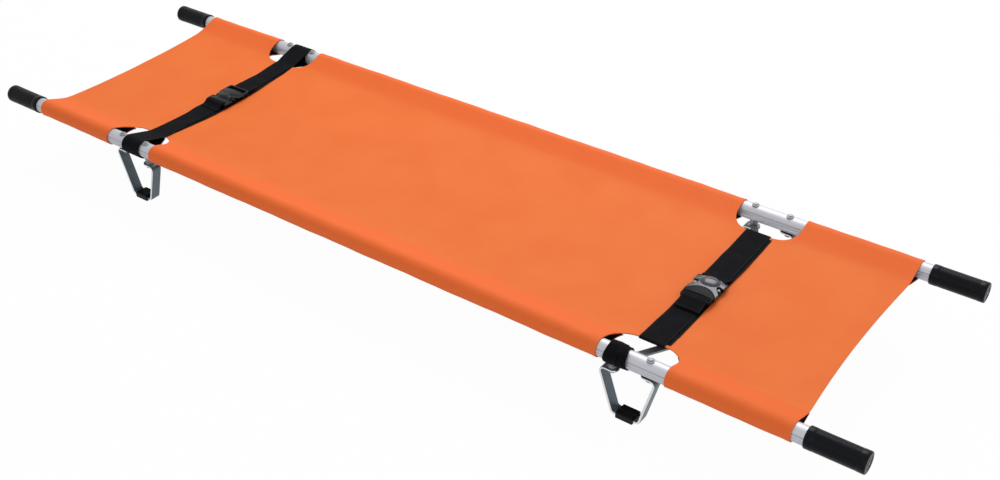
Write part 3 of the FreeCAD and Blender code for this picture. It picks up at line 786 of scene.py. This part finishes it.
def left_strap(hand):
    """Plies of the left strap on one side of its split, and their run. Each goes round the pole and back."""
    plies, total = [], 0
    for ply, shift in ((0, -1.4), (1, 1.4)):
        lift = PLY / 2 + ply * (PLY + 0.1)
        loop = pole_loop(STRAP_JOIN, STRAP_LEVEL - POLE_Z + lift, PLY - 0.6 - lift, POLE_R + 0.6 + lift, hand)
        if hand < 0:
            section = np.concatenate([loop[::-1], bed_run(-STRAP_JOIN, STRAP_SPLIT, lift)[1:]])
            apart = 1 - 3.4 * (1 - ease(np.abs(section[:, 0]), 120, 200))
        else:
            section = np.concatenate([bed_run(STRAP_SPLIT, STRAP_JOIN, lift)[:-1], loop])
            apart = 1 - 3.4 * (1 - ease(np.abs(section[:, 0]), 150, 215))
        centre = STRAP_LEFT + strap_drift(section) + shift * apart
        plies.append(web_shell(section, centre, loop_half(section)))
        total += length_along(section)[-1]
    return plies, total


def make_straps():
    """Two body straps of two plies: the left one round both poles, and the right one folded at its ends."""
    for end, plies_of, held in (("right", right_strap, "folded"), ("left", left_strap, "stretched")):
        plies, run = plies_of(-1)
        main = web_piece(f"strap_{end}_sheet", plies)
        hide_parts(f"strap_{end}_near", f"strap_{end}_centre")
        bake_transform(main)
        round(run * MM, 4)
        plies, run = plies_of(1)
        rest = web_piece(f"strap_{end}_sheet_far", plies, "cover_far")
        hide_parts(f"strap_{end}_far")
        round(run * MM, 4)


make_straps()


def make_band():
    """Two turns of webbing round the near pole and a tail. Each turn leans a little and rises over the bolt head."""
    low, high = (v.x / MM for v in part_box("retaining_band"))
    rings = [(low + 10, 25, POLE_R + 3.0, 2.4, 1.8), (high - 15, 22, POLE_R + 1.9, -2.6, 1.2)]
    made = []
    angle = np.linspace(0, 2 * np.pi, 72, endpoint=False)[:, None]
    across = np.linspace(0, 1, 10)[None, :]
    for start, width, radius, lean, slack in rings:
        x = start + width * across + lean * np.sin(angle - 0.7)
        bolt = hill(np.hypot(x - PIVOT_X, 19 * (angle - np.pi / 2)), 0, 15)
        loose = slack * (0.5 + 0.5 * np.sin(3 * angle + 0.8)) + 0.35 * np.sin(across * 7 + 2 * angle)
        r = radius + loose + 2.6 * bolt + 0.5 * hill(angle, np.pi * 1.2, 0.8)
        grid = np.stack([x, -POLE_Y - r * np.cos(angle), POLE_Z + r * np.sin(angle)], -1)
        quads = grid_quads(72, 10, wrap_rows=True)
        made.append(woven(grid, quads, 1.6, radius * angle, WEB_HALF * (2 * across - 1))[:3])
    along = np.linspace(0, 1, 14)[:, None]
    across = np.linspace(-1, 1, 8)[None, :]
    turn = 1.35 - 1.5 * along
    r = POLE_R + 3.6 + 1.6 * along**2
    x = high + 0.5 + 7.5 * across + 3.0 * along
    tail = np.stack(np.broadcast_arrays(x, -POLE_Y - r * np.cos(turn), POLE_Z + r * np.sin(turn)), -1)
    made.append(woven(tail, grid_quads(14, 8), 1.5, 30 * along, WEB_HALF * across)[:3])
    band = web_piece("retaining_band_wrap", made, "frame_near")
    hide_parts("retaining_band")


make_band()


# ---------------------------------------------------------------- grips
RIB_PITCH, RIB_DEPTH, RIB_FLOOR, BAND_LENGTH, BAND_R = 2.2, 0.34, 18.72, 13, 19.3
DOT_R = 2.6


def grip_profile():
    """Radius of a grip along its length: plain bevelled bands, and between them ribs by a rectified cosine."""
    inner, outer = GRIP
    start, end = inner + BAND_LENGTH, outer - BAND_LENGTH
    count = int((end - start) / RIB_PITCH)
    x = np.linspace(start + 0.5, end - 0.5, count * 8 + 1)
    wave = np.abs(np.cos(np.pi * (x - x[0]) / (x[-1] - x[0]) * count)) ** 0.6
    head = [(0, 0), (0, 16.7), (0, 18.0), (0.5, 18.8), (1.5, BAND_R), (BAND_LENGTH - 0.3, BAND_R), (BAND_LENGTH, 19.15)]
    tail = [(-BAND_LENGTH, 19.15), (0.3 - BAND_LENGTH, BAND_R), (-1.8, BAND_R), (-0.9, 18.95), (-0.25, 18.2), (0, 17.2)]
    close = [(0, 12), (-0.5, 11.4), (-0.5, 3.2), (-0.2, 2.7), (-0.2, 0)]
    ribs = np.stack([x, RIB_FLOOR + RIB_DEPTH * wave], -1)
    return np.concatenate([np.array(head) + [inner, 0], ribs, np.array(tail + close) + [outer, 0]])


for side, s in SIDES.items():
    for end, e in ENDS.items():
        points, quads = turned(grip_profile() * [e, 1], s * POLE_Y, POLE_Z, 72)
        x, y, z = points[quads].mean(1).T
        dot = (np.hypot(y - s * POLE_Y, z - POLE_Z) < DOT_R) & (np.abs(x) > GRIP[1] - BAND_LENGTH)
        paints = [grip_rubber, pale_plug]
        name, body = f"grip_sleeve_{side}_{end}", f"frame_{side}"
        sleeve = piece(name, points, quads, paints, body, "grip_rubber", face_material=dot)
        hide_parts(f"grip_{side}_{end}")


# ---------------------------------------------------------------- feet and pads
FOOT_X, FOOT_WIDTH, FOOT_THICK, FOOT_BEND = 615.5, 23, 4.6, 8
TAB_SHARE = 0.65
FOOT_PATH = [(29.5, 109), (55, 109), (26.5, 4.9), (-26.5, 4.9), (-55, 95.2), (-21, 95.2)]
SHOE_OUTLINE = [
    (-15, 0.8), (-14.2, 0), (14.2, 0), (15, 0.8), (15, 10.8), (13.6, 12), (1.2, 12),
    (0.2, 11.3), (0.1, 9.6), (-1.0, 9.4), (-2.2, 10.4), (-13.8, 10.4), (-15, 9.2), (-15, 0.8),
]


def foot_shell(s, e):
    """A flat strip carried along its bent path, its section a rectangle with round corners.

    Its two ends are half round, and it thins towards them by a smooth step, as a strip does where its tabs are pressed.
    """
    path = np.array(FOOT_PATH, float)
    path[0, 0] -= 0.3 * FOOT_WIDTH
    path = resampled(rounded_path(path, FOOT_BEND, 9), 2.2)
    run = length_along(path)
    reach = FOOT_WIDTH / 2
    nose = reach * (1 - np.cos(np.linspace(0.12, 1.57, 9)))
    fine = np.unique(np.concatenate([run, nose, run[-1] - nose]))
    path = np.stack([np.interp(fine, run, path[:, k]) for k in (0, 1)], -1)
    ends = np.minimum(fine, fine[-1] - fine)
    half = np.where(ends < reach, np.sqrt(np.clip(reach**2 - (reach - ends) ** 2, 0.5, None)), reach)
    along = np.gradient(path, axis=0)
    along /= np.linalg.norm(along, axis=1)[:, None]
    normal = np.stack([-along[:, 1], along[:, 0]], -1)
    section = rounded_section(FOOT_WIDTH, FOOT_THICK, 1.0)
    across = np.sign(section[:, 0]) * np.minimum(np.abs(section[:, 0])[None, :], half[:, None])
    rise = section[:, 1] * (TAB_SHARE + (1 - TAB_SHARE) * ease(ends, 26, 44))[:, None]
    u = path[:, :1] + normal[:, :1] * rise
    z = path[:, 1:] + normal[:, 1:] * rise
    grid = np.stack([e * (FOOT_X + u), s * POLE_Y + across, z], -1)
    return shell(capped(grid), wrap_columns=True)


def pad_shell(s, e):
    """A rubber shoe round the strip: one section of sole, two lips and the joint between them, carried along X."""
    outline = resampled(rounded_path(SHOE_OUTLINE, 0.35, 3), 2.5)[:-1]
    low, high = (v.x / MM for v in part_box("foot_pad_near_right"))
    tips = np.array([0, 0.25, 0.9])
    x = np.concatenate([low + tips, np.linspace(low + 4, high - 4, 9), (high - tips)[::-1]])
    shrink = np.interp(np.minimum(x - low, high - x), tips, [0.9, 0.96, 1.0])[:, None]
    y = s * (POLE_Y + outline[:, 0] * shrink)
    z = 6 + (outline[:, 1] - 6) * shrink
    return shell(capped(np.stack(np.broadcast_arrays(e * x[:, None], y, z), -1)), wrap_columns=True)


for side, s in SIDES.items():
    for end, e in ENDS.items():
        points, quads = foot_shell(s, e)
        corner = points[quads]
        facing = np.cross(corner[:, 2] - corner[:, 0], corner[:, 3] - corner[:, 1])
        # faces along the strip's sides take the lighter zinc, a painted highlight, and the flat faces take the darker
        # zinc, painted shade
        highlight_edges = np.abs(facing[:, 1]) > 0.6 * np.linalg.norm(facing, axis=1)
        paints, body = [zinc_face_shade, zinc_edge_highlight], f"frame_{side}"
        foot = piece(f"foot_strip_{side}_{end}", points, quads, paints, body, "zinc_steel", face_material=highlight_edges)
        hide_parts(f"foot_{side}_{end}")
        pad = piece(f"foot_shoe_{side}_{end}", *pad_shell(s, e), pad_rubber, body, "pad_rubber", sharp=30)
        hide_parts(f"foot_pad_{side}_{end}")


# ---------------------------------------------------------------- buckles
BUCKLE_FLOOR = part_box("buckle_housing_right")[0].z / MM - 0.98 * SAG
MOUTHS = {"right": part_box("buckle_housing_right")[0].y / MM, "left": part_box("buckle_housing_left")[1].y / MM}
BUCKLE_X = {"right": STRAP_RIGHT + 1, "left": STRAP_LEFT + DRIFT + 1.5}
# half the housing's width, and how far back from the mouth's line the thumb windows are centred
HALF, WINDOW = 31, 9.5
WINDOW_HALF, WINDOW_DEPTH, MOUTH_EDGE = 10.6, 12, -15


def plate(x, y, top, bottom):
    """A solid between two heights over a grid of x and y, closed round its outline."""
    rows, columns = x.shape
    upper = np.stack([x, y, top + 0 * x], -1).reshape(-1, 3)
    lower = np.stack([x, y, bottom + 0 * x], -1).reshape(-1, 3)
    quads, count = grid_quads(rows, columns), rows * columns
    return np.concatenate([upper, lower]), np.concatenate([quads, quads[:, ::-1] + count, closing(quads, count)])


def crisp(count):
    """Shares from -1 to 1 that crowd at both ends, so that a rounded edge has enough rows."""
    return np.sin(np.linspace(-np.pi / 2, np.pi / 2, count))


def edge_drop(away, radius):
    """How far a round edge lies below its face, at a distance from the outline."""
    short = np.clip(1 - away / radius, 0, 1)
    return radius * (1 - np.sqrt(1 - short**2))


def block(low, high, radius=0.6):
    """A solid with all edges of its section round, carried along Y and tapered a touch at both ends."""
    (x0, y0, z0), (x1, y1, z1) = low, high
    outline = rounded_section(x1 - x0, z1 - z0, radius, 3)
    y = np.array([y0, y0 + 0.15, y0 + radius, y1 - radius, y1 - 0.15, y1])
    shrink = np.array([0.9, 0.97, 1, 1, 0.97, 0.9])[:, None]
    x = (x0 + x1) / 2 + outline[:, 0] * shrink
    z = (z0 + z1) / 2 + outline[:, 1] * shrink
    return shell(capped(np.stack([x, y[:, None] + 0 * x, z], -1)), wrap_columns=True)


def bar_ring(reach, near, far, height):
    """The web bar: a flat oval section carried round three sides of a slot."""
    path = resampled(rounded_path([(-reach, near), (-reach, far), (reach, far), (reach, near)], 5, 8), 4)
    along = np.gradient(path, axis=0)
    along /= np.linalg.norm(along, axis=1)[:, None]
    outline = rounded_section(4.6, 6.4, 2.1, 5)
    x = path[:, :1] - along[:, 1:] * outline[:, 0]
    y = path[:, 1:] + along[:, :1] * outline[:, 0]
    return shell(capped(np.stack([x, y, height + outline[:, 1] + 0 * x], -1)), wrap_columns=True)


def mouth_curve(x):
    """The housing's mouth, drawn back in the middle, as an offset along the buckle."""
    return 2 - 17 * np.minimum(np.abs(x) / HALF, 1) ** 2.3


def housing_shells(end, dome_y, dome_reach, back_edge):
    """Housing: a crowned top with a thumb dome, an arch cut in each side, a floor plate, side walls and a solid back.

    It gives points, quads and, for each quad, whether it is inside the housing: the floor, walls and back, which are
    painted black as painted shade under the top.
    """
    u, v = np.meshgrid(crisp(65), (crisp(71) + 1) / 2)
    nominal = MOUTH_EDGE + v * (back_edge - MOUTH_EDGE)
    arch = np.sqrt(np.clip(1 - ((nominal - WINDOW) / WINDOW_HALF) ** 2, 0, 1))
    half = HALF - WINDOW_DEPTH * arch
    x = u * half
    bulge = 5 if end == "right" else 1
    far = back_edge - bulge + bulge * np.sqrt(np.clip(1 - (x / 25) ** 2, 0, 1))
    near = mouth_curve(x)
    y = near + (far - near) * v
    away = np.minimum((1 - np.abs(u)) * half, np.minimum(v, 1 - v) * (far - near))
    round_off = np.hypot(x / 18, (y - dome_y) / dome_reach)
    dome = 3.6 * np.sqrt(np.clip(1 - round_off**2, 0, 1)) - 0.7 * hill(round_off, 1.03, 0.09)
    top = 9.9 - 2.7 * (x / HALF) ** 2 + dome - edge_drop(away, 1.5) - 1.0 * ease(y, back_edge - 14, back_edge)
    if end == "left":
        top = top - 0.9 * hill(y - 20 - 8 * (x / HALF) ** 2, 0, 1.6)
    upper = plate(x, y, top, np.minimum(7.2 - 1.2 * (x / HALF) ** 2, top - 0.8))
    u, v = np.meshgrid(crisp(21), (crisp(15) + 1) / 2)
    floor = plate(u * (HALF - 1.2), v * (back_edge + 1), 2.6, 0.2)
    walls = [block((x - 1.2, WINDOW + 9.6, 1), (x + 1.2, back_edge - 2, 7.0)) for x in (-28.6, 28.6)]
    back = block((-27.5, back_edge - 8, 1.5), (27.5, back_edge - 0.5, 6.6), 1.6)
    points, quads = joined(upper, floor, *walls, back)
    return points, quads, np.arange(len(quads)) >= len(upper[1])


def plug_shells():
    """Plug: a crowned lens that fills the mouth, the web bar behind it, and the guide tongue between the prongs."""
    u, v = np.meshgrid(crisp(61), (crisp(35) + 1) / 2)
    x = u * (HALF - 0.3)
    near = -20.5 + 1.2 * (x / HALF) ** 2
    far = np.maximum(mouth_curve(x) - 0.6, near + 1.5)
    y = near + (far - near) * v
    away = np.minimum((1 - np.abs(u)) * HALF, np.minimum(v, 1 - v) * (far - near))
    top = 10.2 - 2.9 * (x / HALF) ** 2 - 0.5 * ease(-y, 8, 20) - edge_drop(away, 1.3)
    lens = plate(x, y, top, np.where(y > -0.8, 3.2, 0.4))
    ring = bar_ring(27.5, -17.5, -34.4, 5.2)
    tongue = block((-6, -2, 3.4), (6, 31, 6.6), 0.8)
    return joined(lens, ring, tongue)


def prong_shell(hand):
    """A sprung prong: a slim arm whose outer side swells to the thumb pad, by a smooth hump along its length."""
    y = np.concatenate([[-1.5], np.linspace(-1.2, 19.2, 25), [19.5]])
    outline = rounded_section(1, 1, 0.28, 4)
    pad = hill(y, WINDOW, 8.5)
    inner = 20.6 + 1.4 * ease(y, 6, 19)
    outer = 23.6 + 4.2 * pad
    width = (outer - inner)[:, None]
    height = (3.4 + 0.5 * pad)[:, None]
    x = ((inner + outer) / 2)[:, None] + width * outline[:, 0]
    z = 5.2 + height * outline[:, 1]
    return shell(capped(np.stack([hand * x, y[:, None] + 0 * x, z], -1)), wrap_columns=True)


def set_down(points, end):
    """Moves a buckle's points from its own place to its strap. The left one is turned end for end."""
    hand = 1 if end == "right" else -1
    return points * [hand, hand, 1] + [BUCKLE_X[end], MOUTHS[end], BUCKLE_FLOOR]


def web_cover(end, section):
    """Webbing over part of a buckle, its section given in the buckle's own y and z."""
    section = resampled(rounded_path(section, 1.6, 5), 2.2)
    points, quads, cloth = web_shell(section, 0.8, WEB_HALF - 0.4)
    return set_down(points, end), quads, cloth


# for each buckle: its housing's and plug's material, the prong tips' material, which is a painted highlight, and the
# housing's slot
PLASTICS = {
    "right": (grey_plastic, black_plastic, prong_plastic, "grey_plastic"),
    "left": (dark_plastic, dark_plastic, dark_plastic, "dark_plastic"),
}
# middle and reach of each housing's thumb dome along the buckle, and its back edge
TOPS = {"right": (24, 14.5, 37.5), "left": (12.5, 11, 41)}
# sections of the webbing over each plug's bar and each housing's bar
TAILS = {
    "right": [(-62.5, 2.8), (-58, 3.0), (-43, 6.8), (-36, 9.3), (-25, 9.4), (-21.4, 8.2), (-21.4, 4)],
    "left": [(-62.5, 2.8), (-40, 2.4), (-33, 2.4), (-27, 3.1), (-22, 4.6)],
}
BACKS = {
    "right": [(62, 0.9), (54, 1.0), (47, 4.0), (42, 7.4), (37, 8.0), (33, 6.0)],
    "left": [(62, 0.9), (55, 1.0), (48, 4.4), (43, 8.6), (37, 9.7), (33.5, 9.4), (33, 7.4)],
}


def make_buckle(end):
    """One side-release buckle on its strap: housing, plug, prongs, and the webbing that covers both bars."""
    shell_paint, plug_paint, tip_highlight_paint, slot = PLASTICS[end]
    points, quads, inner = housing_shells(end, *TOPS[end])
    # the housing's inner faces take black plastic: painted shade under its top
    points, paints = set_down(points, end), [shell_paint, black_plastic]
    housing = piece(f"buckle_shell_{end}", points, quads, paints, "cover_centre", slot, face_material=inner, sharp=32)
    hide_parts(f"buckle_housing_{end}")
    points, quads = plug_shells()
    points, body = set_down(points, end), f"plug_{end}"
    plug = piece(f"buckle_lens_{end}", points, quads, plug_paint, body, "black_plastic", sharp=32)
    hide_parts(f"buckle_plug_{end}")
    tail = web_piece(f"plug_web_{end}", [web_cover(end, TAILS[end])], body)
    back = web_piece(f"housing_web_{end}", [web_cover(end, BACKS[end])], "cover_centre")
    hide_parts(f"plug_tail_{end}")
    for side, hand in (("inboard", -1), ("outboard", 1)):
        points, quads = prong_shell(hand)
        # the prong's band in the thumb window takes the tip paint: a painted highlight, pale on the right buckle
        highlight_band = np.abs(points[quads].mean(1)[:, 1] - WINDOW - 2) < 3
        points, paints, body = set_down(points, end), [black_plastic, tip_highlight_paint], f"prong_{end}_{side}"
        prong = piece(f"{body}_pad", points, quads, paints, body, "black_plastic", face_material=highlight_band)
        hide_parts(f"buckle_prong_{end}_{side}")


for end in ENDS:
    make_buckle(end)


# ---------------------------------------------------------------- floor and light
WORLD_LEVEL, FLOOR_REACH, FLOOR_WHITE = 0.5, 60.0, 0.975


def make_floor():
    """A wide pale floor that the camera sees as white, with the shadow kept."""
    paint = Paint("floor")
    diffuse = paint.add("ShaderNodeBsdfDiffuse", Color=(0.9, 0.9, 0.9, 1))
    white = paint.add("ShaderNodeEmission", Color=(1, 1, 1, 1), Strength=1.0)
    mixed = paint.add("ShaderNodeMixShader", _0=paint.white_rays() * FLOOR_WHITE, _1=diffuse, _2=white)
    mesh = bpy.data.meshes.new("floor")
    corners = [(x * FLOOR_REACH, y * FLOOR_REACH, 0) for x, y in ((-1, -1), (1, -1), (1, 1), (-1, 1))]
    mesh.from_pydata(corners, [], [(0, 1, 2, 3)])
    mesh.materials.append(paint.output(mixed))
    floor = bpy.data.objects.new("floor", mesh)
    bpy.context.scene.collection.objects.link(floor)


def make_world():
    """Even white surroundings: a plain level for light, and full white for the camera, a gloss or a glass."""
    paint = Paint(bpy.data.worlds.new("studio"))
    level = WORLD_LEVEL + paint.white_rays() * (1 - WORLD_LEVEL)
    back = paint.add("ShaderNodeBackground", Color=(1, 1, 1, 1), Strength=level)
    bpy.context.scene.world = paint.output(back, "ShaderNodeOutputWorld")


def soft_lamp(name, spot, aim, size, power):
    """A large square lamp aimed at a point."""
    data = bpy.data.lights.new(name, "AREA")
    data.shape = "SQUARE"
    data.size = size
    data.energy = power
    lamp = bpy.data.objects.new(name, data)
    bpy.context.scene.collection.objects.link(lamp)
    lamp.location = spot
    lamp.rotation_euler = (Vector(aim) - Vector(spot)).to_track_quat("-Z", "Y").to_euler()


make_floor()
make_world()
soft_lamp("key", (-0.4, 2.2, 2.9), (0, 0, 0.1), 2.0, 78)
soft_lamp("fill", (1.6, -3.0, 2.0), (0.2, 0, 0.1), 2.4, 13)

bpy.context.scene.view_settings.view_transform = "Standard"
